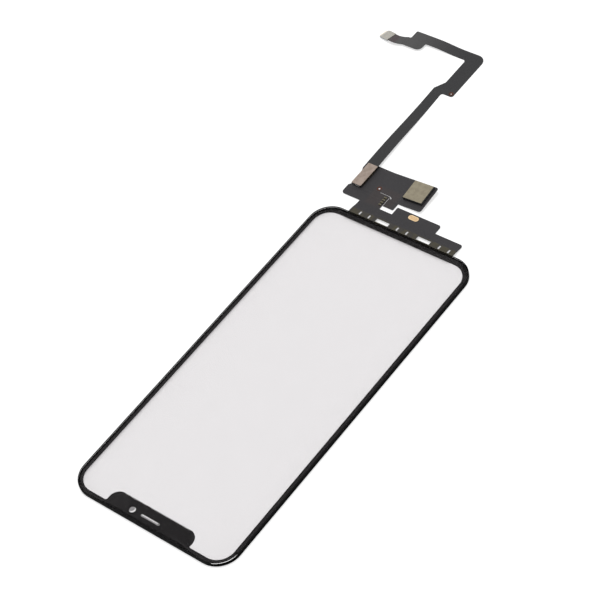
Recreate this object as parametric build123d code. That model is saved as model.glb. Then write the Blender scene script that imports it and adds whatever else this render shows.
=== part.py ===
from build123d import *
import os
from math import radians, sqrt, tan

# Front glass and touch assembly of a notched phone display, in millimetres.
# The glass faces up. The origin is the middle of the display area on the rear face of the
# touch sensor film. +Y runs to the chin end, where the circuits leave, and +Z out of the glass.
# The notch lies at the -Y end. "Front" is the -Y side of a piece and "back" its +Y side.

# Display area and its notch, as left clear by the border ink
display_width = 62.4
display_length = 135.1
display_corner = 6.2
notch_width = 35.4
notch_depth = 5.25
notch_corner = 3.7
notch_root = 0.6

# Cover glass
side_border = 1.95
chin_border = 2.75
glass_thickness = 0.75
glass_corner = 8.5
glass_edge_round = 0.40
glass_rear_chamfer = 0.08

# Openings of the notch: speaker slot through the glass, camera window in the ink
slot_length = 7.5
slot_width = 0.5
slot_inset = 3.45
camera_window = 2.2
camera_offset = 7.6
camera_inset = 3.5

# Laminated layers under the glass: ink, clear adhesive, and film with the board's tail bonded to
# its front face, in the thickness of the adhesive
ink_thickness = 0.03
ink_inset = 0.15
ink_slot_gap = 0.12
film_thickness = 0.15
film_margin = 0.25
film_chin_reach = 1.05
board_thickness = 0.16
bond_thickness = 0.03
bond_ink_gap = 0.01
bond_adhesive_gap = 0.05

# Rear frame, glued to the rim of the glass
frame_inset = 0.05
frame_film_gap = 0.10
frame_depth = 1.07
frame_rim_width = 1.15
frame_flange = 0.30
frame_glue = 0.05
frame_glue_inset = 0.12
frame_relief_gap = 0.30
frame_edge_chamfer = 0.15

# Touch flex board: the strip, bonded to the film, and its shoulder
bond_width = 0.60
bond_inset = 0.05
bond_tail = 0.10
strip_width = 44.7
strip_shift = -0.23
strip_reach = 6.4
strip_corner = 1.0
shoulder_width = 18.75
shoulder_length = 3.85
shoulder_corner = 1.0
strip_bend_start = 0.45
strip_bend_length = 6.0

# Touch flex board: the connector half, the lobe beside it, and the chip corner
board_width = 30.6
board_length = 11.7
board_corner = 0.9
board_gap = 1.35
board_shift = 0.45
lobe_reach = 0.7
lobe_gap = 0.45
lobe_length = 5.05
lobe_corner = 1.3
lobe_chamfer = 0.8
slit_inset = 14.1
tongue_width = 4.5
tongue_gap = 0.8
tongue_gap_rise = 0.25
tongue_length = 3.25
tongue_corner = 0.3
slit_width = 0.22
slit_rise = 4.85
slit_reach = 4.5
slit_straight = 3.7
slit_hook = 0.85
lift_clearance = 0.3
lift_angle = 7.1
lift_radius = 15.0

# Window slots in the strip, between the bonded tails, placed from the strip's middle by
# shares of its width
window_gap = 0.7
window_length = 1.6
narrow_window = 0.7
narrow_window_shares = (-0.403, -0.316, -0.043, 0.048, 0.356, 0.445)
wide_window = 5.45
wide_window_shares = (-0.187, 0.207)

# Touch controller chip, the foil over it, its solder joints and the stiffener behind it
chip_width = 8.3
chip_length = 8.4
chip_height = 0.95
chip_foil_height = 0.05
chip_foil_inset = 0.10
chip_side_margin = 1.18
chip_back_margin = 0.56
chip_chamfer = 0.08
solder_height = 0.08
solder_land = 0.5
solder_pitch = 1.1
solder_margin = 0.6
chip_stiffener_height = 0.20
stiffener_corner = 0.4

# Small parts on the board: earth pad, capacitors, copper rings
pad_length = 4.1
pad_width = 2.0
pad_height = 0.05
pad_shift = -1.4
pad_inset = 1.6
capacitor_length = 1.0
capacitor_width = 0.5
capacitor_height = 0.35
capacitor_count = 4
capacitor_pitch = 1.15
capacitor_slit_gap = 0.6
ring_diameter = 1.9
ring_hole = 0.75
ring_height = 0.04
ring_slit_gap = 1.35
ribbon_ring_inset = 1.35
ribbon_ring_hole = 0.5

# Board connector: a socket on the board, and the ribbon's plug pressed into it
connector_side_margin = 2.5
connector_back_margin = 6.3
socket_width = 3.1
socket_length = 9.6
socket_wall = 0.35
socket_floor = 0.15
socket_island = 0.70
socket_top_gap = 0.18
island_drop = 0.12
mated_height = 0.80
plug_clearance = 0.05
plug_base = 0.15
plug_end_wall = 0.30
contact_thickness = 0.08
contact_width = 0.22
contact_pitch = 0.50
contact_tail = 0.35
contact_end_margin = 0.45
socket_contact_drop = 0.10
bump_height = 0.10
bump_drop = 0.12
nail_thickness = 0.10
nail_width = 1.9
nail_foot = 0.22
socket_stiffener_height = 0.23
socket_stiffener_margin = 0.35

# Ribbon: its head over the connector, and the leg that runs on from there
ribbon_thickness = 0.12
ribbon_head_length = 6.2
ribbon_flare = 0.7
ribbon_flare_length = 1.8
ribbon_leg_width = 4.3
ribbon_leg_slant = 1.2
ribbon_leg_length = 53.85
ribbon_drop_gap = 1.7
ribbon_drop_end_gap = 2.65

# Ribbon: the jog, the second leg, the arm, its step and its tail
jog_offset = 4.75
jog_stagger = 1.3
jog_rise = 4.2
jog_corner = 0.9
second_leg_width = 6.65
second_leg_length = 17.1
arm_width = 4.5
arm_length = 18.15
outer_corner = 3.5
inner_corner = 1.0
arm_rise_gap = 1.7
arm_rise_length = 14.0
arm_rise = 0.85
step_width = 6.95
step_drop = 4.0
step_corner = 2.2
small_corner = 0.6
tail_width = 4.35
tail_start = 1.1
tail_twist_length = 4.4
tail_twist = 6.0
tail_dip = 5.0
tail_turn = 11.0
tail_lift = 0.50
tail_drift = 1.2
tail_end_length = 4.6
tail_sections = 4

# Steel plates on the backs of the plugs, and the far plug
near_plate_width = 4.1
near_plate_length = 10.6
near_plate_height = 0.25
far_plug_width = 4.1
far_plug_length = 4.5
far_plug_height = 0.60
far_plug_cavity = 1.6
far_plug_gap = 1.65
far_plate_length = 3.75
far_plate_width = 4.6
far_plate_height = 0.20
far_plate_gap = 1.25
plate_corner = 0.25
plate_edge_chamfer = 0.05

# Heights, worked out from the stack: the rear face of the film is zero
tail_bottom = film_thickness + bond_thickness
ink_bottom = tail_bottom + board_thickness + bond_ink_gap
glass_bottom = ink_bottom + ink_thickness
glass_top = glass_bottom + glass_thickness
frame_top = ink_bottom - frame_glue
table = frame_top - frame_depth
board_top = table + socket_stiffener_height + board_thickness
ribbon_head_bottom = board_top + mated_height
ribbon_low = table
ribbon_arm = table + arm_rise

# Plan limits of the glass and film
glass_half = display_width / 2 + side_border
glass_front = -(display_length / 2 + side_border)
glass_back = display_length / 2 + chin_border
notch_edge = -display_length / 2 + notch_depth
slot_place = (0, glass_front + slot_inset)
camera_place = (-camera_offset, glass_front + camera_inset)
film_half = display_width / 2 + film_margin
film_front = -(display_length / 2 + film_margin)
film_back = display_length / 2 + film_chin_reach
bond_back = film_back - bond_inset
bond_front = bond_back - bond_width

# Plan limits of the flex board
strip_left = strip_shift - strip_width / 2
strip_right = strip_shift + strip_width / 2
strip_front = bond_front - bond_tail
adhesive_back = strip_front - bond_adhesive_gap
strip_back = glass_back + strip_reach
shoulder_back = strip_back + shoulder_length
board_front = shoulder_back + board_gap
board_back = board_front + board_length
board_right = board_shift
board_left = board_right - board_width
slit_x = board_right - slit_inset
tongue_right = slit_x + tongue_width
tongue_front = board_front - tongue_length
gap_front = strip_back + tongue_gap_rise
shoulder_left = tongue_right + tongue_gap
shoulder_right = shoulder_left + shoulder_width
lobe_left = board_left - lobe_reach
lobe_front = strip_back + lobe_gap
lobe_back = lobe_front + lobe_length
slit_back = tongue_front + slit_rise
slit_end = slit_x - slit_reach
lift_start = (tongue_right + board_front) / sqrt(2) + lift_clearance
lift_line = lift_start + lift_radius * tan(radians(lift_angle) / 2)
lift_slope = tan(radians(lift_angle))

# Places of the parts on the board
chip_x = board_right - chip_side_margin - chip_width / 2
chip_y = board_back - chip_back_margin - chip_length / 2
pad_x = (shoulder_left + shoulder_right) / 2 + pad_shift
pad_y = shoulder_back - pad_inset
capacitor_x = slit_x - capacitor_slit_gap - capacitor_length / 2
ring_x = slit_end - ring_slit_gap
ring_y = slit_back + ring_slit_gap
connector_x = board_left + connector_side_margin
connector_y = board_back - connector_back_margin

# Sizes of the socket and the plug that fits in it
socket_height = mated_height - socket_top_gap
channel_half = socket_width / 2 - socket_wall
near_plug_width = 2 * (channel_half - plug_clearance)
near_plug_length = socket_length - 2 * (socket_wall + plug_clearance)
island_length = near_plug_length - 2 * (plug_end_wall + plug_clearance)
near_plug_height = mated_height - socket_floor - plug_clearance

# Plan limits of the ribbon
head_left = connector_x - near_plate_width / 2
head_right = connector_x + near_plate_width / 2
head_front = connector_y - near_plate_length / 2
head_back = connector_y + near_plate_length / 2
flare_start = head_front + ribbon_head_length
flare_end = flare_start + ribbon_flare_length
leg_left = head_left - ribbon_flare
jog_left = leg_left - ribbon_leg_slant
jog_right = jog_left + ribbon_leg_width
jog_y = head_front + ribbon_leg_length
second_right = jog_right + jog_offset
second_left = second_right - second_leg_width
second_front = jog_y - jog_stagger
arm_front = jog_y + second_leg_length
arm_back = arm_front + arm_width
step_right = second_left - arm_length
step_left = step_right - step_width
tail_front = arm_front - step_drop
tail_back = tail_front + tail_width
tail_x = step_left - tail_start
tail_y = (tail_front + tail_back) / 2
twist_end = tail_x - tail_twist_length
ribbon_split = (jog_y + jog_rise + arm_front) / 2
ribbon_ring_x = second_right - ribbon_ring_inset
ribbon_ring_y = second_front + ribbon_ring_inset
drop_start = head_back + ribbon_drop_gap
drop_end = ribbon_ring_y - ring_diameter / 2 - ribbon_drop_end_gap

# Reaches of the columns and sheets that are cut to one another, well past the part's own,
# and the overlap of two sheets where they join into one
column_reach = 5 * (glass_top - table)
sheet_reach = arm_back + strip_width
sheet_overlap = board_gap


def level_face(left, right, front, back, height, corner=0.0):
    """Level rectangle between the given limits, its corners rounded if a radius is given."""
    width, length = right - left, back - front
    flat = RectangleRounded(width, length, corner) if corner else Rectangle(width, length)
    return Pos((left + right) / 2, (front + back) / 2, height) * flat


def plate(left, right, front, back, bottom, top, corner=0.0):
    """Level plate between the given limits, its upright corners rounded if a radius is given."""
    return extrude(level_face(left, right, front, back, bottom, corner), top - bottom)


def block(width, length, bottom, top, corner=0.0):
    """Level plate centred on the local origin."""
    return plate(-width / 2, width / 2, -length / 2, length / 2, bottom, top, corner)


def outline(*corners):
    """Flat face through corners (x, y) or (x, y, radius), rounded where a radius is given."""
    face = make_face(Polyline(*[corner[:2] for corner in corners], close=True))
    for corner in corners:
        if len(corner) == 3:
            nearest = face.vertices().sort_by_distance(Vector(corner[0], corner[1]))[0]
            face = fillet(nearest, corner[2])
    return face


def column(flat):
    """Tall block over and under a flat outline, which cuts a bent sheet to that outline."""
    return extrude(flat, column_reach, both=True)


def bent_sheet(side_plane, ends, bend, bottoms, thickness):
    """Sheet that is level, bends to a second height over two equal arcs, and is level again."""
    middle = (sum(bend) / 2, sum(bottoms) / 2)
    edges = []
    for rise in (0, thickness):
        first, last = (bend[0], bottoms[0] + rise), (bend[1], bottoms[1] + rise)
        between = (middle[0], middle[1] + rise)
        edges += [Line((ends[0], first[1]), first), Line(last, (ends[1], last[1]))]
        edges.append(TangentArc(first, between, tangent=(1, 0)))
        edges.append(TangentArc(last, between, tangent=(-1, 0)))
    for end, bottom in zip(ends, bottoms):
        edges.append(Line((end, bottom), (end, bottom + thickness)))
    return extrude(side_plane * make_face(edges), sheet_reach, both=True)


def folded_sheet():
    """Board sheet that is level and then bends up along a diagonal line in plan."""
    edges, far_corners = [], []
    for drop in (0, board_thickness):
        level = Line((0, board_top - drop), (lift_start, board_top - drop))
        bend = JernArc(level @ 1, (1, 0), lift_radius + drop, lift_angle)
        slope = Line(bend @ 1, (bend @ 1) + (bend % 1) * sheet_reach)
        edges += [level, bend, slope]
        far_corners.append(slope @ 1)
    edges.append(Line((0, board_top), (0, board_top - board_thickness)))
    edges.append(Line(*far_corners))
    diagonal = Plane(origin=(0, 0, 0), x_dir=(1, 1, 0), z_dir=(1, -1, 0))
    return extrude(diagonal * make_face(edges), sheet_reach, both=True)


def lifted(x, y):
    """Plane on the top face of the lifted corner, its X axis along the board's X in plan."""
    height = board_top + lift_slope * ((x + y) / sqrt(2) - lift_line)
    slope = lift_slope / sqrt(2)
    return Plane(origin=(x, y, height), x_dir=(1, 0, slope), z_dir=(-slope, -slope, 1))


def display_sheet(margin, back):
    """Display-shaped outline with the notch let into its end, grown by a margin and up to a back limit."""
    half = display_width / 2 + margin
    front = -(display_length / 2 + margin)
    sheet = Pos(0, (front + back) / 2) * RectangleRounded(2 * half, back - front, display_corner + margin)
    notch_half = notch_width / 2 - margin
    notch_back = notch_edge - margin
    reach = 2 * (notch_back - front)
    sheet -= Pos(0, notch_back - reach / 2) * RectangleRounded(2 * notch_half, reach, notch_corner - margin)
    roots = [sheet.vertices().sort_by_distance(Vector(side * notch_half, front))[0] for side in (-1, 1)]
    return fillet(roots, notch_root)


def make_cover_glass():
    """Glass sheet with rounded front edges and the speaker slot through it."""
    glass = plate(-glass_half, glass_half, glass_front, glass_back, glass_bottom, glass_top, glass_corner)
    glass = fillet(glass.faces().sort_by(Axis.Z)[-1].edges(), glass_edge_round)
    glass = chamfer(glass.faces().sort_by(Axis.Z)[0].edges(), glass_rear_chamfer)
    slot = Pos(*slot_place, glass_bottom) * extrude(SlotOverall(slot_length, slot_width), glass_thickness)
    return glass - slot


def make_border_ink():
    """Printed border with the display window, the camera window and the speaker slot."""
    half = glass_half - ink_inset
    ink = plate(-half, half, glass_front + ink_inset, glass_back - ink_inset,
                ink_bottom, glass_bottom, glass_corner - ink_inset)
    camera = Pos(*camera_place) * Circle(camera_window / 2)
    slot = Pos(*slot_place) * SlotOverall(slot_length + 2 * ink_slot_gap, slot_width + 2 * ink_slot_gap)
    for opening in (display_sheet(0, display_length / 2), camera, slot):
        ink -= Pos(Z=ink_bottom) * extrude(opening, ink_thickness)
    return ink


def make_optical_adhesive():
    """Clear adhesive over the film up to the board's tail, which fills the window of the ink."""
    layer = extrude(display_sheet(film_margin, adhesive_back), ink_bottom - film_thickness)
    window = extrude(display_sheet(0, display_length / 2), ink_thickness)
    return Pos(Z=film_thickness) * layer + Pos(Z=ink_bottom) * window


def make_touch_sensor_film():
    """Clear film that carries the touch sensor."""
    return extrude(display_sheet(film_margin, film_back), film_thickness)


def frame_ring(outset, inset, bottom, top):
    """Ring from a place inside the glass edge inwards to a gap off the film."""
    outer_half, inner_half = glass_half - outset, film_half + inset
    outer = plate(-outer_half, outer_half, glass_front + outset, glass_back - outset,
                  bottom, top, glass_corner - outset)
    return outer - plate(-inner_half, inner_half, film_front - inset, film_back + inset,
                         bottom, top, display_corner + film_margin + inset)


def frame_relief():
    """Room for the board's tail and its bond, through the frame's glue line and into its flange."""
    return plate(strip_left - frame_relief_gap, strip_right + frame_relief_gap,
                 strip_front - frame_relief_gap, glass_back, film_thickness, ink_bottom)


def make_rear_frame():
    """Frame relieved for the board's tail, its inner wall upright and then drafted to a rim."""
    step = frame_top - frame_flange
    flange = frame_ring(frame_inset, frame_film_gap, step, frame_top)
    rim_half = glass_half - frame_inset
    rim = plate(-rim_half, rim_half, glass_front + frame_inset, glass_back - frame_inset,
                table, step, glass_corner - frame_inset)
    rim = chamfer(rim.faces().sort_by(Axis.Z)[0].edges(), frame_edge_chamfer)
    edge = frame_inset + frame_rim_width
    low_half, high_half = glass_half - edge, film_half + frame_film_gap
    rim -= loft([level_face(-low_half, low_half, glass_front + edge, glass_back - edge,
                            table, glass_corner - edge),
                 level_face(-high_half, high_half, film_front - frame_film_gap, film_back + frame_film_gap,
                            step, display_corner + film_margin + frame_film_gap)])
    return flange + rim - frame_relief()


def make_frame_adhesive():
    """Glue line between the frame and the ink, broken where the board's tail passes."""
    ring = frame_ring(frame_inset + frame_glue_inset, frame_film_gap + frame_glue_inset,
                      frame_top, ink_bottom)
    return ring - frame_relief()


def make_bond_strip():
    """Conductive bond between the film and the flex board."""
    return plate(strip_left, strip_right, bond_front, bond_back, film_thickness, tail_bottom)


def board_openings():
    """Window slots, the slits that free the tongue, and the hole in the copper ring."""
    window_y = glass_back + window_gap + window_length / 2
    flats = []
    for width, shares in ((narrow_window, narrow_window_shares), (wide_window, wide_window_shares)):
        window = Rectangle(width, window_length)
        flats += [Pos(strip_shift + share * strip_width, window_y) * window for share in shares]
    flats.append(Pos(ring_x, ring_y) * Circle(ring_hole / 2))
    upright = Line((slit_x, gap_front), (slit_x, slit_back - slit_hook / 2))
    level = Line((slit_end, slit_back), (slit_end + slit_straight, slit_back))
    hook = TangentArc(level @ 1, (slit_x + slit_hook, slit_back - slit_hook), tangent=(1, 0))
    flats += [trace(upright, slit_width), trace(Wire([level, hook]), slit_width)]
    return [column(flat) for flat in flats]


def make_flex_board():
    """Board cut from one sheet: bonded strip with windows, connector lobe and lifted corner."""
    joined = board_front + sheet_overlap
    strip = outline((strip_left, strip_front), (strip_right, strip_front),
                    (strip_right, strip_back, strip_corner), (shoulder_right, strip_back),
                    (shoulder_right, shoulder_back, shoulder_corner), (shoulder_left, shoulder_back),
                    (shoulder_left, gap_front), (slit_x, gap_front), (slit_x, joined),
                    (board_left, joined), (board_left, lobe_back),
                    (lobe_left, lobe_back - lobe_chamfer), (lobe_left, lobe_front, lobe_corner),
                    (strip_left, lobe_front))
    corner = outline((board_left, board_front), (slit_x, board_front), (slit_x, tongue_front),
                     (tongue_right, tongue_front, tongue_corner), (tongue_right, board_front),
                     (board_right, board_front, board_corner), (board_right, board_back, board_corner),
                     (board_left, board_back, board_corner))
    bend_start = glass_back + strip_bend_start
    bend = (bend_start, bend_start + strip_bend_length)
    bottoms = (tail_bottom, board_top - board_thickness)
    stepped = bent_sheet(Plane.YZ, (0, board_back), bend, bottoms, board_thickness)
    board = (column(strip) & stepped) + (column(corner) & folded_sheet())
    return board - board_openings()


def make_touch_chip():
    """Moulded chip on the lifted corner."""
    body = block(chip_width, chip_length, solder_height, solder_height + chip_height)
    return lifted(chip_x, chip_y) * chamfer(body.faces().sort_by(Axis.Z)[-1].edges(), chip_chamfer)


def make_chip_foil():
    """Thin metal foil bonded to the top of the chip."""
    bottom = solder_height + chip_height
    width, length = chip_width - 2 * chip_foil_inset, chip_length - 2 * chip_foil_inset
    return lifted(chip_x, chip_y) * block(width, length, bottom, bottom + chip_foil_height)


def make_chip_solder():
    """Square grid of solder joints under the chip."""
    across = int((chip_width - 2 * solder_margin) / solder_pitch) + 1
    along = int((chip_length - 2 * solder_margin) / solder_pitch) + 1
    land = block(solder_land, solder_land, 0, solder_height)
    grid = GridLocations(solder_pitch, solder_pitch, across, along)
    return Compound([lifted(chip_x, chip_y) * place * land for place in grid])


def make_chip_stiffener():
    """Steel plate behind the board, under the chip."""
    top = -board_thickness
    return lifted(chip_x, chip_y) * block(chip_width, chip_length, top - chip_stiffener_height, top,
                                          stiffener_corner)


def make_earth_pad():
    """Gilt stadium-shaped pad on the shoulder."""
    pad = extrude(SlotOverall(pad_length, pad_width), pad_height)
    return Pos(pad_x, pad_y, board_top) * pad


def make_capacitors():
    """Short row of chip capacitors beside the slit."""
    body = block(capacitor_length, capacitor_width, 0, capacitor_height)
    places = [Pos(capacitor_x, tongue_front + step * capacitor_pitch, board_top)
              for step in range(capacitor_count)]
    return Compound([place * body for place in places])


def make_copper_ring(x, y, bottom, hole):
    """Bare copper ring round a tooling hole."""
    return Pos(x, y, bottom) * extrude(Circle(ring_diameter / 2) - Circle(hole / 2), ring_height)


def contact_rows(profile, length):
    """Two facing rows of like contacts, cut from one bent-strip profile in the cross section."""
    count = int((length - 2 * contact_end_margin) / contact_pitch) + 1
    contact = extrude(Plane.XZ * make_face(Polyline(*profile, close=True)), contact_width / 2, both=True)
    rows = [Pos(Y=y) * contact for y in [(i - (count - 1) / 2) * contact_pitch for i in range(count)]]
    return rows + [Rot(Z=180) * row for row in rows]


def socket_contacts():
    """Contacts that lie on the board, pass under the socket wall and stand against the plug."""
    inner, outer = channel_half, socket_width / 2 + contact_tail
    top = socket_height - socket_contact_drop
    bump_top = top - bump_drop
    profile = [(inner, 0), (outer, 0), (outer, contact_thickness),
               (inner + contact_thickness, contact_thickness), (inner + contact_thickness, top),
               (inner, top), (inner, bump_top), (inner - plug_clearance, bump_top - plug_clearance),
               (inner - plug_clearance, bump_top - plug_clearance - bump_height),
               (inner, bump_top - 2 * plug_clearance - bump_height)]
    return contact_rows(profile, near_plug_length)


def plug_contacts(width, length, height):
    """Contacts that lie on the ribbon's underside and wrap down the plug's outer wall."""
    outer = width / 2
    inner = outer - contact_thickness
    profile = [(inner, -height + contact_thickness), (outer, -height + contact_thickness),
               (outer, -contact_thickness), (outer + contact_tail, -contact_thickness),
               (outer + contact_tail, 0), (inner, 0)]
    return contact_rows(profile, length)


def make_plug(width, length, height, cavity_width, cavity_length):
    """Plug moulding under a ribbon: a base with a wall round a cavity, grooved for its contacts."""
    body = block(width, length, -height, 0)
    body -= block(cavity_width, cavity_length, -height, -plug_base)
    return body - plug_contacts(width, length, height)


def make_socket():
    """Socket moulding: floor, wall all round and an island that the plug's cavity fits over."""
    body = block(socket_width, socket_length, 0, socket_height)
    channel_length = socket_length - 2 * socket_wall
    body -= block(2 * channel_half, channel_length, socket_floor, socket_height)
    body += block(socket_island, island_length, socket_floor, socket_height - island_drop)
    return body - socket_contacts()


def socket_nails():
    """Steel holdfasts on the ends of the socket, with feet on the board."""
    inner = socket_length / 2
    outer = inner + nail_thickness
    foot = outer + nail_foot
    profile = [(inner, 0), (foot, 0), (foot, nail_thickness), (outer, nail_thickness),
               (outer, socket_height), (inner, socket_height)]
    nail = extrude(Plane.YZ * make_face(Polyline(*profile, close=True)), nail_width / 2, both=True)
    return [nail, Rot(Z=180) * nail]


def steel_plate(width, length, height):
    """Stiffener plate with rounded corners and softened upper edges, standing on its plane."""
    body = block(width, length, 0, height, plate_corner)
    return chamfer(body.faces().sort_by(Axis.Z)[-1].edges(), plate_edge_chamfer)


def ribbon_outline():
    """Plan of the ribbon from its head to the start of its tail."""
    return outline((head_left, head_front), (head_left, flare_start), (leg_left, flare_end),
                   (jog_left, jog_y), (second_left, jog_y + jog_rise),
                   (second_left, arm_front, inner_corner), (step_right, arm_front, small_corner),
                   (step_right, tail_front, step_corner), (tail_x, tail_front), (tail_x, tail_back),
                   (step_left, tail_back, small_corner), (step_left, arm_back, small_corner),
                   (second_right, arm_back, outer_corner), (second_right, second_front, jog_corner),
                   (jog_right, second_front, jog_corner), (head_right, head_back), (head_right, head_front))


def tail_place(share):
    """Place on the underside of the tail, from its start (0) to the end of its twist (1)."""
    return Location((tail_x - share * tail_twist_length, tail_y - share * (2 - share) * tail_drift,
                     ribbon_arm + share * tail_lift),
                    (-share * tail_twist, -share * tail_dip, -share * tail_turn))


def make_ribbon():
    """Ribbon cut from one sheet: down from the plug, level round the jog, up the arm, twisted tail."""
    reach = 2 * (jog_y - head_front)
    near_half = Pos(Y=ribbon_split - reach / 2) * Rectangle(reach, reach)
    far_half = Pos(Y=ribbon_split + reach / 2) * Rectangle(2 * reach, reach)
    leg = bent_sheet(Plane.YZ, (0, ribbon_split), (drop_start, drop_end),
                     (ribbon_head_bottom, ribbon_low), ribbon_thickness)
    rise = second_left - arm_rise_gap
    arm = bent_sheet(Plane.XZ, (tail_x, second_right), (rise - arm_rise_length, rise),
                     (ribbon_arm, ribbon_low), ribbon_thickness)
    ribbon = (column(ribbon_outline() & near_half) & leg) + (column(ribbon_outline() & far_half) & arm)
    section = Plane.YZ * (Pos(Y=ribbon_thickness / 2) * Rectangle(tail_width, ribbon_thickness))
    shares = [step / (tail_sections - 1) for step in range(tail_sections)]
    ribbon += loft([tail_place(share) * section for share in shares])
    ribbon += tail_place(1) * plate(-tail_end_length, 0, -tail_width / 2, tail_width / 2,
                                    0, ribbon_thickness)
    return ribbon - column(Pos(ribbon_ring_x, ribbon_ring_y) * Circle(ribbon_ring_hole / 2))


def make_parts():
    """Every piece in its place, by name."""
    board = Pos(connector_x, connector_y, board_top)
    head = Pos(connector_x, connector_y, ribbon_head_bottom)
    near_plug = (near_plug_width, near_plug_length, near_plug_height)
    near_cavity = (socket_island + 2 * plug_clearance, island_length + 2 * plug_clearance)
    far = tail_place(1) * Pos(X=-far_plug_gap - far_plug_width / 2)
    far_plug = (far_plug_width, far_plug_length, far_plug_height)
    far_cavity = (far_plug_cavity, far_plug_length - 2 * plug_end_wall)
    far_plate_x = -far_plate_gap - far_plate_length / 2
    behind_board = Pos(connector_x, connector_y, board_top - board_thickness - socket_stiffener_height)
    margin = 2 * socket_stiffener_margin
    return {
        "cover_glass": make_cover_glass(),
        "border_ink": make_border_ink(),
        "optical_adhesive": make_optical_adhesive(),
        "touch_sensor_film": make_touch_sensor_film(),
        "frame_adhesive": make_frame_adhesive(),
        "rear_frame": make_rear_frame(),
        "bond_strip": make_bond_strip(),
        "flex_board": make_flex_board(),
        "touch_chip": make_touch_chip(),
        "chip_foil": make_chip_foil(),
        "chip_solder": make_chip_solder(),
        "chip_stiffener": make_chip_stiffener(),
        "earth_pad": make_earth_pad(),
        "capacitors": make_capacitors(),
        "board_ring": make_copper_ring(ring_x, ring_y, board_top, ring_hole),
        "socket_stiffener": behind_board * block(socket_width + margin, socket_length + margin, 0,
                                                 socket_stiffener_height, stiffener_corner),
        "board_socket": board * make_socket(),
        "socket_contacts": Compound([board * contact for contact in socket_contacts()]),
        "socket_nails": Compound([board * nail for nail in socket_nails()]),
        "near_plug": head * make_plug(*near_plug, *near_cavity),
        "near_plug_contacts": Compound([head * contact for contact in plug_contacts(*near_plug)]),
        "near_plug_plate": head * Pos(Z=ribbon_thickness) * steel_plate(near_plate_width, near_plate_length,
                                                                        near_plate_height),
        "ribbon": make_ribbon(),
        "ribbon_ring": make_copper_ring(ribbon_ring_x, ribbon_ring_y, ribbon_low + ribbon_thickness,
                                        ribbon_ring_hole),
        "far_plug": far * make_plug(*far_plug, *far_cavity),
        "far_plug_contacts": Compound([far * contact for contact in plug_contacts(*far_plug)]),
        "far_plug_plate": tail_place(1) * Pos(far_plate_x, 0, ribbon_thickness) * steel_plate(
            far_plate_length, far_plate_width, far_plate_height),
    }


os.makedirs("parts", exist_ok=True)
for name, piece in make_parts().items():
    export_step(piece, f"parts/{name}.step")
    print(name, f"{piece.volume:.3f} mm3")
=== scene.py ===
"""Looks of a phone's front glass and touch circuit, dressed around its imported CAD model.

Lengths are in millimetres in the sizes below and in metres in Blender, in the model's own frame:
+Z out of the glass, +Y towards the end where the circuits leave, and the origin in the middle of
the display area.
"""

import logging
from abc import ABC, abstractmethod
from dataclasses import dataclass, field
from enum import Enum

import bpy
import numpy as np
from mathutils import Matrix, Vector

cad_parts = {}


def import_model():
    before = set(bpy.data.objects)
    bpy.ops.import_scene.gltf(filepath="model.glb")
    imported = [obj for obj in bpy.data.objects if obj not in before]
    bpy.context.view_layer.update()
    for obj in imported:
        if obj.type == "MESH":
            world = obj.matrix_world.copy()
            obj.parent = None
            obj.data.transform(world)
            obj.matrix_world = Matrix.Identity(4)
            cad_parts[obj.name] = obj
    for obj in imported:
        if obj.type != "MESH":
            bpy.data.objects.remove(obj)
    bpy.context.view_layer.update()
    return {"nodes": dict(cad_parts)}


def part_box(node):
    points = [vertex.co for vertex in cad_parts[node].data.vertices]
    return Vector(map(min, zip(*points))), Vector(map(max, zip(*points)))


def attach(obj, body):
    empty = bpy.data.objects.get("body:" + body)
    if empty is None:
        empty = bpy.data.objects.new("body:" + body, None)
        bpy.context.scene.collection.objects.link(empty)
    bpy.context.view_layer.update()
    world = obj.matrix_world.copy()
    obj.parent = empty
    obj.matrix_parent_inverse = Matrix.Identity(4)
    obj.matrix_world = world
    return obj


log = logging.getLogger("screen")
MM = 0.001
FULL_SPECULAR = 0.08  # share of light that a specular level of 1 mirrors face on
WHITE = (1.0, 1.0, 1.0)
Colour = tuple[float, float, float]
Span = tuple[float, float]
Socket = bpy.types.NodeSocket


def shown(red: float, green: float, blue: float) -> Colour:
    """Turn a colour as a screen shows it into linear light.

    Args:
        red: Red part, 0 to 255.
        green: Green part, 0 to 255.
        blue: Blue part, 0 to 255.

    Returns:
        The same colour in linear light, by the sRGB curve.
    """
    parts = np.array([red, green, blue]) / 255
    linear = np.where(parts <= 0.04045, parts / 12.92, ((parts + 0.055) / 1.055) ** 2.4)
    return tuple(float(part) for part in linear)


def tube_faces(rings: int, turns: int) -> np.ndarray:
    """Join rings of points into four-cornered faces, each ring closed on itself.

    The point at place p of ring r has the number r * turns + p, and each face joins it to the next
    place and the next ring.

    Args:
        rings: How many rings there are.
        turns: How many points each ring has.

    Returns:
        Corner numbers of each face, one row each.
    """
    ring, place = np.meshgrid(np.arange(rings - 1), np.arange(turns), indexing="ij")
    here = ring * turns + place
    beside = ring * turns + (place + 1) % turns
    return np.stack([here, beside, beside + turns, here + turns], axis=-1).reshape(-1, 4)


class Axis(Enum):
    """Coordinates of a point on the object."""

    X = 0
    Y = 1
    Z = 2


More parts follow.
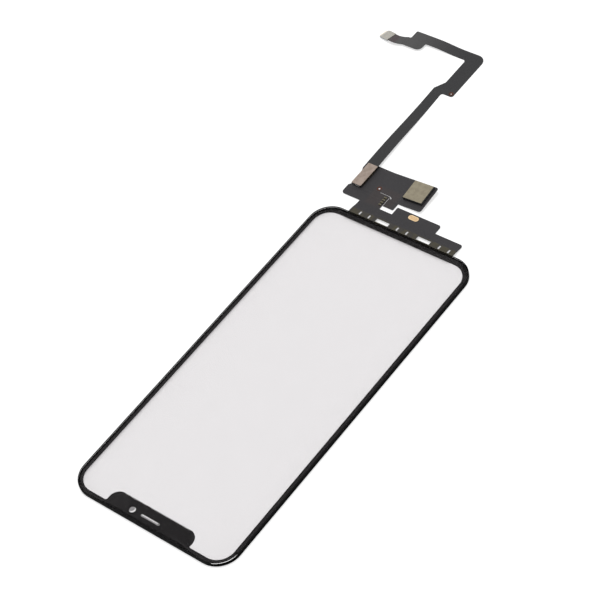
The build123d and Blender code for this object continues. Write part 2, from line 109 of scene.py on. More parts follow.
class Graph:
    """A material's node tree, built one node at a time."""

    def __init__(self, name: str) -> None:
        """Start an empty material of that name."""
        self.material = bpy.data.materials.new(name)
        self.material.use_nodes = True
        self.tree = self.material.node_tree
        self.tree.nodes.clear()
        self.point = self.node("TexCoord").outputs["Object"]

    def node(self, kind: str, **settings: object) -> bpy.types.Node:
        """Add a node and fill its settings.

        Args:
            kind: Node type without its ShaderNode prefix.
            settings: Node properties, and inputs by name with _ for a space.

        Returns:
            The new node.
        """
        made = self.tree.nodes.new("ShaderNode" + kind)
        for name, value in settings.items():
            if name in made.bl_rna.properties:
                setattr(made, name, value)
            else:
                self.feed(made.inputs[name.replace("_", " ")], value)
        return made

    def feed(self, socket: Socket, value: object) -> None:
        """Link a socket to another one, or set the socket's own value."""
        if isinstance(value, Socket):
            self.tree.links.new(value, socket)
        elif isinstance(value, tuple) and socket.type == "RGBA":
            socket.default_value = (*value, 1.0)
        else:
            socket.default_value = value

    def axis(self, which: Axis) -> Socket:
        """Give one coordinate of the surface point, in millimetres."""
        parts = self.node("SeparateXYZ", Vector=self.point)
        return self.math("MULTIPLY", parts.outputs[which.value], 1 / MM)

    def math(self, operation: str, first: object, second: object = 0.0) -> Socket:
        """Work out one number from two others."""
        made = self.node("Math", operation=operation)
        self.feed(made.inputs[0], first)
        self.feed(made.inputs[1], second)
        return made.outputs[0]

    def step(self, value: object, start: float, end: float) -> Socket:
        """Rise smoothly from 0 at start to 1 at end."""
        made = self.node("MapRange", interpolation_type="SMOOTHSTEP", Value=value)
        self.feed(made.inputs["From Min"], start)
        self.feed(made.inputs["From Max"], end)
        return made.outputs["Result"]

    def within(self, value: object, span: Span, edge: float) -> Socket:
        """Give 1 inside the span and 0 outside, with soft edges of the given width."""
        low, high = span
        return self.math("SUBTRACT", self.step(value, low - edge, low),
                         self.step(value, high, high + edge))

    def cloud(self, size: float, detail: float = 3.0, stretch: Colour = WHITE) -> Socket:
        """Draw a cloud with grains of about size millimetres, longer where stretch is above 1."""
        scale = tuple(1 / (size * MM * part) for part in stretch)
        grid = self.node("Mapping", Vector=self.point, Scale=scale)
        return self.node("TexNoise", Vector=grid.outputs[0], Scale=1.0, Detail=detail).outputs["Fac"]

    def stripes(self, across: object, pitch: float) -> Socket:
        """Draw soft stripes, half of one plus the sine of the distance across them."""
        wave = self.math("SINE", self.math("MULTIPLY", across, 2 * np.pi / pitch))
        return self.math("MULTIPLY", self.math("ADD", wave, 1.0), 0.5)

    def blend(self, share: object, first: object, second: object) -> Socket:
        """Blend two colours, the second one by share."""
        made = self.node("Mix", data_type="RGBA")
        self.feed(made.inputs["Factor"], share)
        self.feed(made.inputs[6], first)
        self.feed(made.inputs[7], second)
        return made.outputs[2]

    def mixed(self, share: object, first: Socket, second: Socket) -> Socket:
        """Mix two shaders, the second one by share."""
        made = self.node("MixShader", Fac=share)
        self.feed(made.inputs[1], first)
        self.feed(made.inputs[2], second)
        return made.outputs[0]

    def between(self, share: object, low: float, high: float) -> Socket:
        """Turn a share from 0 to 1 into a number from low to high."""
        return self.math("ADD", self.math("MULTIPLY", share, high - low), low)

    def bump(self, height: object, depth: float) -> Socket:
        """Tilt the surface by a height map whose full range is depth millimetres."""
        return self.node("Bump", Height=height, Distance=depth * MM, Strength=1.0).outputs["Normal"]

    def finish(self, shader: Socket) -> bpy.types.Material:
        """Put a shader on the output and hand back the finished material."""
        self.feed(self.node("OutputMaterial").inputs["Surface"], shader)
        return self.material


@dataclass(frozen=True)
class Finish(ABC):
    """What a surface is made of and how it was left."""

    name: str

    @abstractmethod
    def material(self) -> bpy.types.Material:
        """Build the finish as a material."""


@dataclass(frozen=True)
class ClearSheet(Finish):
    """Clear glass, film or adhesive: lets light through by its tint and mirrors a little of it.

    The tint lies on one face, at the height tinted_at, so that faces which touch a neighbour
    change nothing. A glass may have a round window, whose place and half width are in
    millimetres, where the tint turns darker: painted shade, standing in for the shadow that the
    print throws on the floor seen through the opening. It may also have a rim colour: that of the
    print behind it, which its rounded edges and walls show all over. The rounded edges mirror a
    share rim_mirror of what they face, and the walls hardly any. flat_below and wall_below say
    how far under the top the flat face and the wall give way to the rounding, as shares of its
    radius.
    """

    tint: Colour
    tinted_at: float = 0.0
    mirror: float = 0.0
    smear: float = 0.0
    smear_size: float = 9.0
    polish: Span = (0.015, 0.06)
    face_depth: float = 0.01
    window: tuple[float, float, float] | None = None
    window_shade_tint: Colour = (0.235, 0.228, 0.232)
    window_edge: float = 0.1
    rim: Colour | None = None
    rim_round: float = 0.40
    rim_mirror: float = 0.010
    wall_mirror: float = 0.001
    flat_below: Span = (0.06, 0.015)
    wall_below: Span = (0.85, 0.55)
    foot: float = 0.38

    def coat(self, graph: Graph, roughness: Socket, mirror: float) -> Socket:
        """Shade the rim colour under a surface that mirrors the given share face on."""
        body = graph.node("BsdfPrincipled", Base_Color=self.rim, Roughness=roughness)
        body.inputs["Specular IOR Level"].default_value = mirror / FULL_SPECULAR
        return body.outputs[0]

    def edge(self, graph: Graph, cloud: Socket, height: Socket) -> Socket:
        """Shade the edge: glossy where it is rounded and dull on its wall.

        Args:
            graph: The material being built.
            cloud: Slow cloud that varies the roughness.
            height: Height of the surface point, in millimetres.

        Returns:
            The shader of the edge.
        """
        rounded = self.coat(graph, graph.between(cloud, 0.10, 0.16), self.rim_mirror)
        wall = self.coat(graph, graph.between(cloud, 0.30, 0.45), self.wall_mirror)
        low, high = (self.tinted_at - part * self.rim_round for part in self.wall_below)
        return graph.mixed(graph.step(height, low, high), wall, rounded)

    def tone(self, graph: Graph, cloud: Socket) -> Socket:
        """Give the tint, smeared slightly by the cloud and darker in the round window.

        Args:
            graph: The material being built.
            cloud: Slow cloud that places the smears.

        Returns:
            The colour that light takes on in passing the tinted face.
        """
        smeared = tuple(part * (1 - self.smear) for part in self.tint)
        tone = graph.blend(graph.step(cloud, 0.35, 0.75), self.tint, smeared)
        if not self.window:
            return tone
        x, y, half = self.window
        away_x = graph.math("SUBTRACT", graph.axis(Axis.X), x)
        away_y = graph.math("SUBTRACT", graph.axis(Axis.Y), y)
        squares = graph.math("ADD", graph.math("MULTIPLY", away_x, away_x),
                             graph.math("MULTIPLY", away_y, away_y))
        # painted shade: inside the round window the tint turns darker, standing in for the print's shadow on
        # the floor seen through it
        inside_it = graph.step(graph.math("SQRT", squares), half + self.window_edge, half)
        return graph.blend(inside_it, tone, self.window_shade_tint)

    def material(self) -> bpy.types.Material:
        """Mix a mirror into a clear surface by share = (1 - m)(1 - cos angle)^5, outer faces only.

        The level mirror m itself is left to the print that lies below.
        """
        graph = Graph(self.name)
        cloud = graph.cloud(self.smear_size, 4.0)
        height = graph.axis(Axis.Z)
        face = (self.tinted_at - self.face_depth, self.tinted_at + self.face_depth)
        tint = graph.blend(graph.within(height, face, self.face_depth), WHITE, self.tone(graph, cloud))
        clear = graph.node("BsdfTransparent", Color=tint).outputs[0]
        if not self.mirror:
            return graph.finish(clear)
        facing = graph.node("LayerWeight", Blend=0.5).outputs["Facing"]
        rise = graph.math("MULTIPLY", graph.math("POWER", facing, 5.0), 1 - self.mirror)
        inside = graph.node("NewGeometry").outputs["Backfacing"]
        share = graph.math("MULTIPLY", rise, graph.math("SUBTRACT", 1.0, inside))
        gloss = graph.node("BsdfGlossy", Roughness=graph.between(cloud, *self.polish)).outputs[0]
        flat = graph.mixed(share, clear, gloss)
        if not self.rim:
            return graph.finish(flat)
        low, high = (self.tinted_at - part * self.rim_round for part in self.flat_below)
        under = graph.step(height, self.foot + 2 * self.face_depth, self.foot + self.face_depth)
        level = graph.math("ADD", graph.step(height, low, high), under)
        return graph.finish(graph.mixed(level, self.edge(graph, cloud, height), flat))


@dataclass(frozen=True)
class PolishedRim(Finish):
    """Polished edge of the glass over black print: a faint mirror, as strong from every side."""

    colour: Colour
    mirror: float
    roughness: float
    spread: float = 0.03
    mottle: float = 0.2
    cloud_size: float = 9.0

    def material(self) -> bpy.types.Material:
        """Mix a fixed share of mirror into the print's colour, with slow changes in both."""
        graph = Graph(self.name)
        cloud = graph.cloud(self.cloud_size, 4.0)
        darker = tuple(part * (1 - self.mottle) for part in self.colour)
        ground = graph.node("BsdfDiffuse", Color=graph.blend(cloud, self.colour, darker)).outputs[0]
        sheen = graph.between(cloud, self.roughness - self.spread, self.roughness + self.spread)
        gloss = graph.node("BsdfGlossy", Color=WHITE, Roughness=sheen).outputs[0]
        return graph.finish(graph.mixed(self.mirror, ground, gloss))


@dataclass(frozen=True)
class Moulded(Finish):
    """Plastic, print or resin: one colour with a fine grain and slight mottling."""

    colour: Colour
    roughness: float
    grain: float = 0.05
    depth: float = 0.004
    mottle: float = 0.12
    specular: float = 0.5

    def material(self) -> bpy.types.Material:
        """Shade the colour by a slow cloud and roughen the surface by a fine one."""
        graph = Graph(self.name)
        slow, fine = graph.cloud(2.5), graph.cloud(self.grain, 2.0)
        darker = tuple(part * (1 - self.mottle) for part in self.colour)
        body = graph.node("BsdfPrincipled", Base_Color=graph.blend(slow, self.colour, darker),
                          Roughness=graph.between(slow, self.roughness - 0.05, self.roughness + 0.07),
                          Normal=graph.bump(fine, self.depth))
        body.inputs["Specular IOR Level"].default_value = self.specular
        return graph.finish(body.outputs[0])


@dataclass(frozen=True)
class RolledMetal(Finish):
    """Sheet metal, plating or solder, with rolling marks along one axis."""

    colour: Colour
    roughness: float
    along: Axis = Axis.Y
    worn: Colour | None = None
    streak: float = 14.0
    shine: float = 1.0

    def material(self) -> bpy.types.Material:
        """Vary colour and roughness by long thin grains, and the colour again by a slow cloud."""
        graph = Graph(self.name)
        stretch = tuple(self.streak if axis is self.along else 1.0 for axis in Axis)
        grains = graph.cloud(0.06, 3.0, stretch)
        patches = graph.step(graph.cloud(1.3, 3.0), 0.35, 0.7)
        worn = self.worn or tuple(part * 0.8 for part in self.colour)
        tone = graph.blend(graph.math("MULTIPLY", patches, 0.6), self.colour, worn)
        tone = graph.blend(graph.math("MULTIPLY", grains, 0.25), tone, worn)
        metal = graph.node("BsdfPrincipled", Base_Color=tone, Metallic=self.shine,
                           Roughness=graph.between(grains, self.roughness - 0.08, self.roughness + 0.10),
                           Normal=graph.bump(grains, 0.003))
        return graph.finish(metal.outputs[0])


@dataclass(frozen=True)
class GiltPad(Finish):
    """Gilt stadium-shaped pad, brighter round its rim."""

    centre: tuple[float, float]
    half_length: float
    half_width: float
    colour: Colour
    rim: Colour
    rim_width: float = 0.45

    def material(self) -> bpy.types.Material:
        """Blend to the rim colour by the depth inside the outline.

        The depth is w - sqrt(max(|x| - (l - w), 0)^2 + y^2), where x and y are measured from the
        centre, l is the half length and w the half width.
        """
        graph = Graph(self.name)
        x = graph.math("SUBTRACT", graph.axis(Axis.X), self.centre[0])
        y = graph.math("SUBTRACT", graph.axis(Axis.Y), self.centre[1])
        past = graph.math("SUBTRACT", graph.math("ABSOLUTE", x), self.half_length - self.half_width)
        past = graph.math("MAXIMUM", past, 0.0)
        squares = graph.math("ADD", graph.math("MULTIPLY", past, past), graph.math("MULTIPLY", y, y))
        depth = graph.math("SUBTRACT", self.half_width, graph.math("SQRT", squares))
        grains = graph.cloud(0.5, 3.0)
        tone = graph.blend(graph.step(depth, 0.1, self.rim_width), self.rim, self.colour)
        tone = graph.blend(graph.math("MULTIPLY", graph.step(grains, 0.45, 0.75), 0.5), tone, self.rim)
        metal = graph.node("BsdfPrincipled", Base_Color=tone, Metallic=1.0,
                           Roughness=graph.between(grains, 0.32, 0.46), Normal=graph.bump(grains, 0.004))
        return graph.finish(metal.outputs[0])


@dataclass(frozen=True)
class Circuit(Finish):
    """Flexible circuit: dark cover film over copper lines, which stand out faintly through it.

    Its film has two tones and bare base film shows in places. A slow cloud darkens it a little, and its cut
    side walls are painted dark all round: painted shade.
    """

    film: Colour
    over_copper: Colour
    bare: Colour
    bare_dark: Colour
    second: Colour
    second_copper: Colour
    pitch: float
    # dark colour of the slow mottle, and painted shade on the upright side walls
    mottle_and_side_shade: Colour = (0.006, 0.006, 0.007)
    relief: float = 0.010
    specular: float = 0.35

    @abstractmethod
    def lines(self, graph: Graph) -> tuple[Socket, Socket, Socket]:
        """Lay out the copper lines.

        Args:
            graph: The material being built.

        Returns:
            Distance across the lines in millimetres, and the shares of bare base film and of the
            second tone.
        """

    def material(self) -> bpy.types.Material:
        """Colour the film by the copper under it, lift the lines in relief and bare the base film."""
        graph = Graph(self.name)
        across, bare, turned = self.lines(graph)
        copper = graph.step(graph.stripes(across, self.pitch), 0.35, 0.65)
        cloud = graph.cloud(1.8, 4.0)
        tone = graph.blend(turned, graph.blend(copper, self.film, self.over_copper),
                           graph.blend(copper, self.second, self.second_copper))
        tone = graph.blend(graph.math("MULTIPLY", cloud, 0.2), tone, self.mottle_and_side_shade)
        tone = graph.blend(bare, tone, graph.blend(copper, self.bare, self.bare_dark))
        # painted shade: where the surface stands upright, on the cut sides, the colour turns dark whatever
        # the light
        normal = graph.node("SeparateXYZ", Vector=graph.node("TexCoord").outputs["Normal"])
        level = graph.step(graph.math("ABSOLUTE", normal.outputs["Z"]), 0.3, 0.6)
        tone = graph.blend(graph.math("SUBTRACT", 1.0, level), tone, self.mottle_and_side_shade)
        peel = graph.cloud(0.12, 2.0)
        rise = graph.math("ADD", graph.math("MULTIPLY", copper, 0.8), graph.math("MULTIPLY", peel, 0.35))
        body = graph.node("BsdfPrincipled", Base_Color=tone, Roughness=graph.between(cloud, 0.42, 0.58),
                          Normal=graph.bump(rise, self.relief))
        body.inputs["Specular IOR Level"].default_value = self.specular
        return graph.finish(body.outputs[0])


@dataclass(frozen=True)
class RibbonCircuit(Circuit):
    """Ribbon, with lines side by side along it, round its jog and its corner.

    The sides are the X of its outer side at the head and at the jog, and the ends the Y of its
    outer end along the tail and along the arm. The spans say where each change runs.
    """

    sides: Span = (-26.25, -27.15)
    leg: Span = (90.0, 136.0)
    jog: Span = (133.5, 138.5)
    jog_shift: float = 4.5
    ends: Span = (152.8, 157.4)
    end_step: Span = (-54.5, -47.0)
    bared: Span = (-60.6, -58.4)
    bared_edge: float = 0.5
    turning: Span = (-28.0, -66.0)

    def lines(self, graph: Graph) -> tuple[Socket, Socket, Socket]:
        """Measure from the outer edge: the lesser of the distances to the side and to the end.

        Args:
            graph: The material being built.

        Returns:
            Distance across the lines in millimetres, and the shares of bare base film and of the
            second tone, which the film turns to along the arm and the tail.
        """
        x, y = graph.axis(Axis.X), graph.axis(Axis.Y)
        side = graph.between(graph.step(y, *self.leg), *self.sides)
        side = graph.math("ADD", side, graph.math("MULTIPLY", graph.step(y, *self.jog), self.jog_shift))
        end = graph.between(graph.step(x, *self.end_step), *self.ends)
        across = graph.math("MINIMUM", graph.math("SUBTRACT", side, x), graph.math("SUBTRACT", end, y))
        return across, graph.within(x, self.bared, self.bared_edge), graph.step(x, *self.turning)


@dataclass(frozen=True)
class BoardCircuit(Circuit):
    """Board, with lines along the strip near the glass, and slantwise on the board beyond it.

    The bonded tails leave the base film bare. The second tone lies round the tongue and the
    tooling ring.
    """

    beyond: Span = (79.5, 83.5)
    tails: Span = (69.0, 73.0)
    tails_edge: float = 0.15
    bundle_size: float = 2.2
    bundle_stretch: Colour = (1.0, 4.0, 1.0)
    patch_x: Span = (-20.0, -11.0)
    patch_y: Span = (78.0, 85.5)
    patch_edge: float = 1.5

    def lines(self, graph: Graph) -> tuple[Socket, Socket, Socket]:
        """Blend the distance along X into the one along the slant (x - y) / sqrt 2.

        Args:
            graph: The material being built.

        Returns:
            Distance across the lines in millimetres, and the shares of bare base film and of the
            second tone.
        """
        x, y = graph.axis(Axis.X), graph.axis(Axis.Y)
        slant = graph.math("MULTIPLY", graph.math("SUBTRACT", x, y), np.sqrt(0.5))
        past = graph.step(y, *self.beyond)
        across = graph.math("ADD", graph.math("MULTIPLY", x, graph.math("SUBTRACT", 1.0, past)),
                            graph.math("MULTIPLY", slant, past))
        bundles = graph.step(graph.cloud(self.bundle_size, 1.0, self.bundle_stretch), 0.35, 0.6)
        bare = graph.math("MULTIPLY", graph.within(y, self.tails, self.tails_edge),
                          graph.between(bundles, 0.35, 1.0))
        patch = graph.math("MULTIPLY", graph.within(x, self.patch_x, self.patch_edge),
                           graph.within(y, self.patch_y, self.patch_edge))
        return across, bare, patch


@dataclass(frozen=True)
class Palette:
    """Every finish of the part, by the nodes that wear it."""

    # the round window at the camera opening carries painted shade in its darker tint
    glass: Finish = ClearSheet("cover_glass", (0.724, 0.711, 0.718), 1.13, mirror=0.02, smear=0.004,
                               window=(-7.6, -66.0, 1.1), rim=(0.0012, 0.0011, 0.0011))
    polish: Finish = PolishedRim("polished_edge", (0.0012, 0.0011, 0.0011), 0.010, 0.13)
    adhesive: Finish = ClearSheet("clear_adhesive", WHITE)
    film: Finish = ClearSheet("sensor_film", (0.950, 0.945, 0.947), mirror=0.03, smear=0.004)
    ink: Finish = Moulded("border_ink", (0.0095, 0.0085, 0.0090), 0.12, grain=0.5, depth=0.0,
                          specular=0.44)
    frame: Finish = Moulded("frame_plastic", (0.0012, 0.0012, 0.0013), 0.5, specular=0.01)
    glue: Finish = Moulded("black_adhesive", (0.0015, 0.0015, 0.0015), 0.8, specular=0.02)
    bond: Finish = Moulded("bond_film", (0.30, 0.27, 0.20), 0.6)
    board: Finish = BoardCircuit("flex_board", shown(36, 34, 37), shown(42, 39, 42),
                                 shown(66, 62, 40), shown(44, 36, 28), shown(43, 36, 37),
                                 shown(49, 42, 42), 0.34)
    ribbon: Finish = RibbonCircuit("ribbon", shown(28, 28, 30), shown(38, 38, 40),
                                   shown(78, 68, 70), shown(62, 55, 57), shown(74, 73, 73),
                                   shown(86, 85, 85), 0.42)
    chip: Finish = Moulded("chip_moulding", (0.012, 0.012, 0.012), 0.6, grain=0.07, depth=0.006)
    foil: Finish = RolledMetal("chip_foil", shown(144, 137, 119), 0.5, Axis.X, shown(125, 117, 102))
    plate: Finish = RolledMetal("steel_plate", shown(160, 146, 137), 0.45, Axis.Y, shown(130, 117, 106))
    far_plate: Finish = RolledMetal("far_plate", shown(184, 181, 174), 0.4, Axis.X, shown(166, 163, 154))
    tin: Finish = RolledMetal("bright_tin", shown(200, 200, 198), 0.3, Axis.Z, streak=1.5)
    gilt_pad: Finish = GiltPad("gilt_pad", (-0.375, 78.95), 2.05, 1.0, shown(202, 171, 132),
                               shown(230, 202, 160))
    gilt: Finish = RolledMetal("gilt_contact", shown(222, 190, 128), 0.28, Axis.Z)
    cap_tin: Finish = RolledMetal("cap_tin", shown(118, 117, 98), 0.35, Axis.Z, streak=1.5)
    copper: Finish = RolledMetal("bare_copper", shown(88, 60, 52), 0.45, Axis.X, shown(66, 44, 38))
    ceramic: Finish = Moulded("capacitor_ceramic", shown(92, 82, 54), 0.5, grain=0.04)
    socket: Finish = Moulded("connector_black", (0.010, 0.010, 0.010), 0.5, grain=0.06)
    pale: Finish = Moulded("connector_pale", shown(196, 198, 198), 0.45, grain=0.06)


@dataclass
class Assembly(ABC):
    """A sub-assembly of the part: CAD nodes to dress and fine pieces to build on them."""

    nodes: dict[str, bpy.types.Object]
    palette: Palette
    worn: dict[str, bpy.types.Material] = field(default_factory=dict)

    def made(self, finish: Finish) -> bpy.types.Material:
        """Build a finish once and hand back its material."""
        if finish.name not in self.worn:
            self.worn[finish.name] = finish.material()
        return self.worn[finish.name]

    def wear(self, finish: Finish, *names: str) -> None:
        """Give CAD nodes a finish in all their material slots.

        Args:
            finish: What they wear.
            names: The nodes.
        """
        for name in names:
            mesh = self.nodes[name].data
            mesh.materials.clear()
            mesh.materials.append(self.made(finish))
            log.info("dressed %s in %s", name, finish.name)

    def add(self, name: str, points: np.ndarray, faces: np.ndarray, finish: Finish, slot: str) -> None:
        """Make a piece from its points and faces, in the frame of the model.

        Args:
            name: Name of the new piece.
            points: Corner points in millimetres, one row each.
            faces: Corner numbers of each face, one row each.
            finish: What it wears.
            slot: Not used.
        """
        mesh = bpy.data.meshes.new(name)
        mesh.from_pydata((points * MM).tolist(), [], faces.tolist())
        mesh.validate()
        mesh.materials.append(self.made(finish))
        piece = bpy.data.objects.new(name, mesh)
        bpy.context.scene.collection.objects.link(piece)
        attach(piece, "root")
        log.info("built %s with %d faces", name, len(faces))

    @abstractmethod
    def dress(self) -> None:
        """Give the CAD nodes their finishes."""

    def build(self) -> None:
        """Add the fine pieces that the CAD model leaves out; none by default."""


@dataclass
class FrontGlass(Assembly):
    """Cover glass with its print, the clear layers behind it and the rear frame.

    A polished band lies over the rounded edge of the glass, where the surface tilts upwards by
    polish_tilt degrees.
    """

    corner: float = 8.5
    edge_round: float = 0.40
    polish_proud: float = 0.008
    polish_tilt: Span = (14.0, 68.0)
    polish_rows: int = 13
    corner_turns: int = 25

    def dress(self) -> None:
        """Give the laminate and the frame their finishes."""
        self.wear(self.palette.glass, "cover_glass")
        self.wear(self.palette.adhesive, "optical_adhesive")
        self.wear(self.palette.film, "touch_sensor_film")
        self.wear(self.palette.ink, "border_ink")
        self.wear(self.palette.frame, "rear_frame")
        self.wear(self.palette.glue, "frame_adhesive")
        self.wear(self.palette.bond, "bond_strip")
        for name in ("cover_glass", "optical_adhesive", "touch_sensor_film", "border_ink"):
            self.nodes[name].visible_shadow = False
            self.nodes[name].visible_diffuse = False

    def build(self) -> None:
        """Lay the polished band over the rounded edge of the glass, all the way round.

        With t the turn of the outward direction n = (cos t, sin t) in plan, e the tilt upwards and
        c the centre of the nearest corner's arc, a point of the band is c + (R - r) n + q (n cos e
        + up sin e), where R is the corner radius, r the rounding and q slightly more than r.
        """
        low, high = (np.array(corner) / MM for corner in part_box("cover_glass"))
        quarter = np.linspace(0, np.pi / 2, self.corner_turns)
        turn = (np.arange(4)[:, None] * np.pi / 2 + quarter).ravel()
        at_right = np.repeat([True, False, False, True], self.corner_turns)
        at_back = np.repeat([True, True, False, False], self.corner_turns)
        centre_x = np.where(at_right, high[0] - self.corner, low[0] + self.corner)
        centre_y = np.where(at_back, high[1] - self.corner, low[1] + self.corner)
        tilt = np.radians(np.linspace(*self.polish_tilt, self.polish_rows))[:, None]
        bend = self.edge_round + self.polish_proud
        out = self.corner - self.edge_round + bend * np.cos(tilt)
        up = high[2] - self.edge_round + bend * np.sin(tilt)
        x, y = centre_x + out * np.cos(turn), centre_y + out * np.sin(turn)
        points = np.stack([x, y, np.broadcast_to(up, x.shape)], axis=-1).reshape(-1, 3)
        faces = tube_faces(self.polish_rows, len(turn))
        self.add("polished_edge", points, faces, self.palette.polish, "glass")


@dataclass
class TouchBoard(Assembly):
    """Flex board with its chip, pad, capacitors and board connector."""

    cap_reach: float = 0.26
    cap_proud: float = 0.02
    cap_squareness: float = 7.0
    cap_rings: int = 10
    cap_turns: int = 28
    capacitor_count: int = 4
    capacitor_width: float = 0.5

    def dress(self) -> None:
        """Give the board and what is soldered to it their finishes."""
        self.wear(self.palette.board, "flex_board")
        self.wear(self.palette.chip, "touch_chip")
        self.wear(self.palette.foil, "chip_foil")
        self.wear(self.palette.tin, "chip_solder", "socket_nails")
        self.wear(self.palette.plate, "chip_stiffener", "socket_stiffener", "near_plug_plate")
        self.wear(self.palette.gilt_pad, "earth_pad")
        self.wear(self.palette.ceramic, "capacitors")
        self.wear(self.palette.copper, "board_ring")
        self.wear(self.palette.socket, "board_socket", "near_plug")
        self.wear(self.palette.gilt, "socket_contacts", "near_plug_contacts")

    def end_cap(self, end: np.ndarray, half: np.ndarray, side: float) -> tuple[np.ndarray, np.ndarray]:
        """Work out the tinned cap over one end of a capacitor.

        The cap is a superellipse |y/a|^n + |z/b|^n = 1 carried along X: ring s of the sleeve runs
        from the cap's rim to its end face as a quarter superellipse, so the end is rounded over.

        Args:
            end: Middle of the capacitor's end face, in millimetres.
            half: Half width and half height of the capacitor.
            side: -1 for the end at low X and 1 for the other.

        Returns:
            Points of the cap, ring by ring, and its faces.
        """
        power = 2 / self.cap_squareness
        turn = np.linspace(0, 2 * np.pi, self.cap_turns, endpoint=False)
        bend = np.linspace(0, 0.97, self.cap_rings) * np.pi / 2
        wide = np.cos(bend) ** power
        ahead = np.sin(bend) ** power * (self.cap_reach + self.cap_proud) - self.cap_reach
        grow = half + self.cap_proud
        ring_y = np.sign(np.cos(turn)) * np.abs(np.cos(turn)) ** power * grow[0]
        ring_z = np.sign(np.sin(turn)) * np.abs(np.sin(turn)) ** power * grow[1]
        x = end[0] + side * np.repeat(ahead, self.cap_turns)
        y = end[1] + np.outer(wide, ring_y).ravel()
        z = end[2] + self.cap_proud + np.outer(wide, ring_z).ravel()
        faces = tube_faces(self.cap_rings, self.cap_turns)
        return np.column_stack([x, y, z]), faces if side > 0 else faces[:, ::-1]

    def build(self) -> None:
        """Put tinned caps on both ends of each capacitor."""
        low, high = (np.array(corner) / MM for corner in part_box("capacitors"))
        half = np.array([self.capacitor_width, high[2] - low[2]]) / 2
        rows = np.linspace(low[1] + half[0], high[1] - half[0], self.capacitor_count)
        points, faces, made = [], [], 0
        for row in rows:
            for side, end in ((-1.0, low[0]), (1.0, high[0])):
                cap, skin = self.end_cap(np.array([end, row, (low[2] + high[2]) / 2]), half, side)
                points.append(cap)
                faces.append(skin + made)
                made += len(cap)
        self.add("capacitor_caps", np.vstack(points), np.vstack(faces), self.palette.cap_tin, "solder")


@dataclass
class Ribbon(Assembly):
    """Ribbon with its tooling ring and the plug and plate on its far end."""

    def dress(self) -> None:
        """Give the ribbon and its far plug their finishes."""
        self.wear(self.palette.ribbon, "ribbon")
        self.wear(self.palette.copper, "ribbon_ring")
        self.wear(self.palette.far_plate, "far_plug_plate")
        self.wear(self.palette.pale, "far_plug")
        self.wear(self.palette.gilt, "far_plug_contacts")


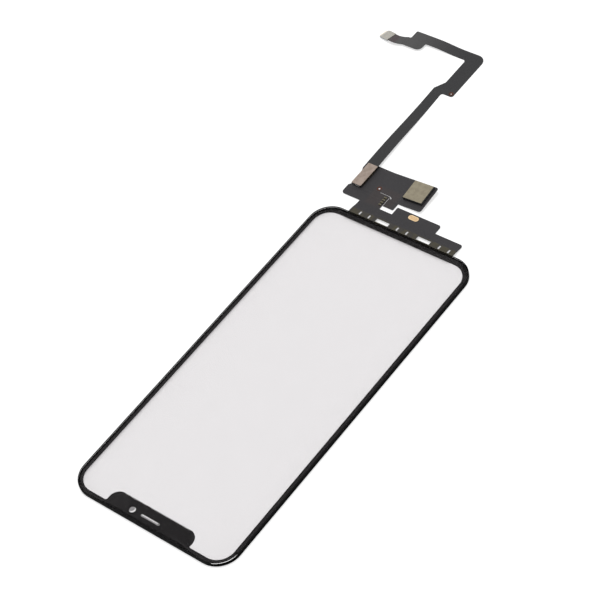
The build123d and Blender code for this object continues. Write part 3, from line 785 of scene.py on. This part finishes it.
@dataclass
class Studio:
    """Plain white floor, even light, a soft lamp overhead and the photograph's camera.

    A wide bright panel beside the camera is seen only in the polished edge of the glass. Places,
    heights and reaches are in millimetres, and turns in degrees.
    """

    floor_height: float = -0.78
    floor_half: float = 3000.0
    floor_tone: float = 0.62
    floor_glow: float = 0.55
    room_light: float = 0.72
    lamp_power: float = 3.2
    lamp_size: float = 200.0
    lamp_place: tuple[float, float, float] = (-120.0, 160.0, 1000.0)
    panel_light: float = 105.0
    panel_turn: float = -40.0
    panel_distance: float = 650.0
    panel_reach: Span = (-700.0, 560.0)
    panel_rise: Span = (60.0, 640.0)
    camera_place: tuple[float, float, float] = (328.96, -259.00, 503.35)
    camera_right: tuple[float, float, float] = (0.778812, 0.599218, -0.185443)
    camera_down: tuple[float, float, float] = (0.368271, -0.676135, -0.638136)
    camera_ahead: tuple[float, float, float] = (-0.507767, 0.428695, -0.747257)
    lens: float = 118.935

    def seen_directly(self, graph: Graph) -> Socket:
        """Give 1 for rays that show a background: from the camera, a mirror or clear glass."""
        path = graph.node("LightPath").outputs
        mirrored = graph.math("MAXIMUM", path["Is Glossy Ray"], path["Is Transmission Ray"])
        return graph.math("MAXIMUM", path["Is Camera Ray"], mirrored)

    def lay_floor(self) -> None:
        """Lay a flat floor, partly lit and partly glowing, so that it is white and keeps a shadow."""
        half = self.floor_half * MM
        square = ((-half, -half), (half, -half), (half, half), (-half, half))
        corners = [(x, y, self.floor_height * MM) for x, y in square]
        mesh = bpy.data.meshes.new("floor")
        mesh.from_pydata(corners, [], [(0, 1, 2, 3)])
        graph = Graph("floor_white")
        lit = graph.node("BsdfDiffuse", Color=(self.floor_tone,) * 3).outputs[0]
        strength = graph.math("MULTIPLY", self.seen_directly(graph), self.floor_glow)
        glow = graph.node("Emission", Color=WHITE, Strength=strength).outputs[0]
        both = graph.node("AddShader")
        graph.feed(both.inputs[0], lit)
        graph.feed(both.inputs[1], glow)
        mesh.materials.append(graph.finish(both.outputs[0]))
        floor = bpy.data.objects.new("floor", mesh)
        bpy.context.scene.collection.objects.link(floor)

    def light_room(self) -> None:
        """Light the room evenly, and show it white wherever a background shows."""
        world = bpy.data.worlds.new("room")
        world.use_nodes = True
        bpy.context.scene.world = world
        tree = world.node_tree
        tree.nodes.clear()
        path = tree.nodes.new("ShaderNodeLightPath").outputs
        seen = path["Is Camera Ray"]
        for name in ("Is Glossy Ray", "Is Transmission Ray"):
            most = tree.nodes.new("ShaderNodeMath")
            most.operation = "MAXIMUM"
            tree.links.new(seen, most.inputs[0])
            tree.links.new(path[name], most.inputs[1])
            seen = most.outputs[0]
        level = tree.nodes.new("ShaderNodeMapRange")
        level.inputs["To Min"].default_value = self.room_light
        level.inputs["To Max"].default_value = 1.0
        tree.links.new(seen, level.inputs["Value"])
        sky = tree.nodes.new("ShaderNodeBackground")
        sky.inputs["Color"].default_value = (1.0, 1.0, 1.0, 1.0)
        tree.links.new(level.outputs["Result"], sky.inputs["Strength"])
        tree.links.new(sky.outputs[0], tree.nodes.new("ShaderNodeOutputWorld").inputs["Surface"])

    def hang_lamp(self) -> None:
        """Hang one soft lamp overhead, facing the object."""
        lamp = bpy.data.lights.new("softbox", "AREA")
        lamp.energy = self.lamp_power
        lamp.shape = "SQUARE"
        lamp.size = self.lamp_size * MM
        holder = bpy.data.objects.new("softbox", lamp)
        where = Vector(self.lamp_place) * MM
        holder.matrix_world = Matrix.LocRotScale(where, (-where).to_track_quat("-Z", "Y"), None)
        bpy.context.scene.collection.objects.link(holder)

    def stand_panel(self, edge: bpy.types.Object) -> None:
        """Stand up a bright panel that shows only as a highlight in the edge of the glass.

        Its corners lie at d (cos a, sin a) + u (-sin a, cos a) in plan, where a is its turn, d its
        distance and u its reach to either side.

        Args:
            edge: The polished edge of the glass, the one piece that mirrors the panel.
        """
        turn = np.radians(self.panel_turn)
        ahead = np.array([np.cos(turn), np.sin(turn)])
        aside = np.array([-np.sin(turn), np.cos(turn)])
        reach = np.repeat(self.panel_reach, 2)
        rise = np.array([*self.panel_rise, *self.panel_rise[::-1]])
        plan = self.panel_distance * ahead + np.outer(reach, aside)
        mesh = bpy.data.meshes.new("edge_panel")
        mesh.from_pydata((np.column_stack([plan, rise]) * MM).tolist(), [], [(0, 1, 2, 3)])
        graph = Graph("edge_panel")
        shine = graph.node("Emission", Color=WHITE, Strength=self.panel_light).outputs[0]
        mesh.materials.append(graph.finish(shine))
        graph.material.cycles.emission_sampling = "NONE"
        panel = bpy.data.objects.new("edge_panel", mesh)
        bpy.context.scene.collection.objects.link(panel)
        panel.visible_camera = panel.visible_diffuse = False
        panel.visible_transmission = panel.visible_shadow = False
        mirrors = bpy.data.collections.new("panel_mirrors")
        mirrors.objects.link(edge)
        panel.light_linking.receiver_collection = mirrors

    def set_camera(self) -> None:
        """Stand the camera where the photograph was taken from, with its lens and its tilt."""
        data = bpy.data.cameras.new("camera")
        data.sensor_width = 36.0
        data.lens = self.lens
        data.clip_start, data.clip_end = 0.05, 20.0
        camera = bpy.data.objects.new("camera", data)
        turn = Matrix((self.camera_right, -Vector(self.camera_down), -Vector(self.camera_ahead))).transposed()
        camera.matrix_world = Matrix.LocRotScale(Vector(self.camera_place) * MM, turn.to_quaternion(), None)
        bpy.context.scene.collection.objects.link(camera)
        bpy.context.scene.camera = camera

    def set_up(self, edge: bpy.types.Object) -> None:
        """Put the whole studio in place, with a panel for the glass edge to mirror."""
        bpy.context.scene.view_settings.view_transform = "Standard"
        self.set_camera()
        self.lay_floor()
        self.light_room()
        self.hang_lamp()
        self.stand_panel(edge)
        log.info("studio is set up")


def main() -> None:
    """Load the model, set the studio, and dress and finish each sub-assembly."""
    logging.basicConfig(level=logging.INFO, format="%(message)s")
    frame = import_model()
    for kind in (FrontGlass, TouchBoard, Ribbon):
        assembly = kind(frame["nodes"], Palette())
        assembly.dress()
        assembly.build()
    Studio().set_up(bpy.data.objects["polished_edge"])
    log.info("boxes written")


if __name__ == "__main__":
    main()
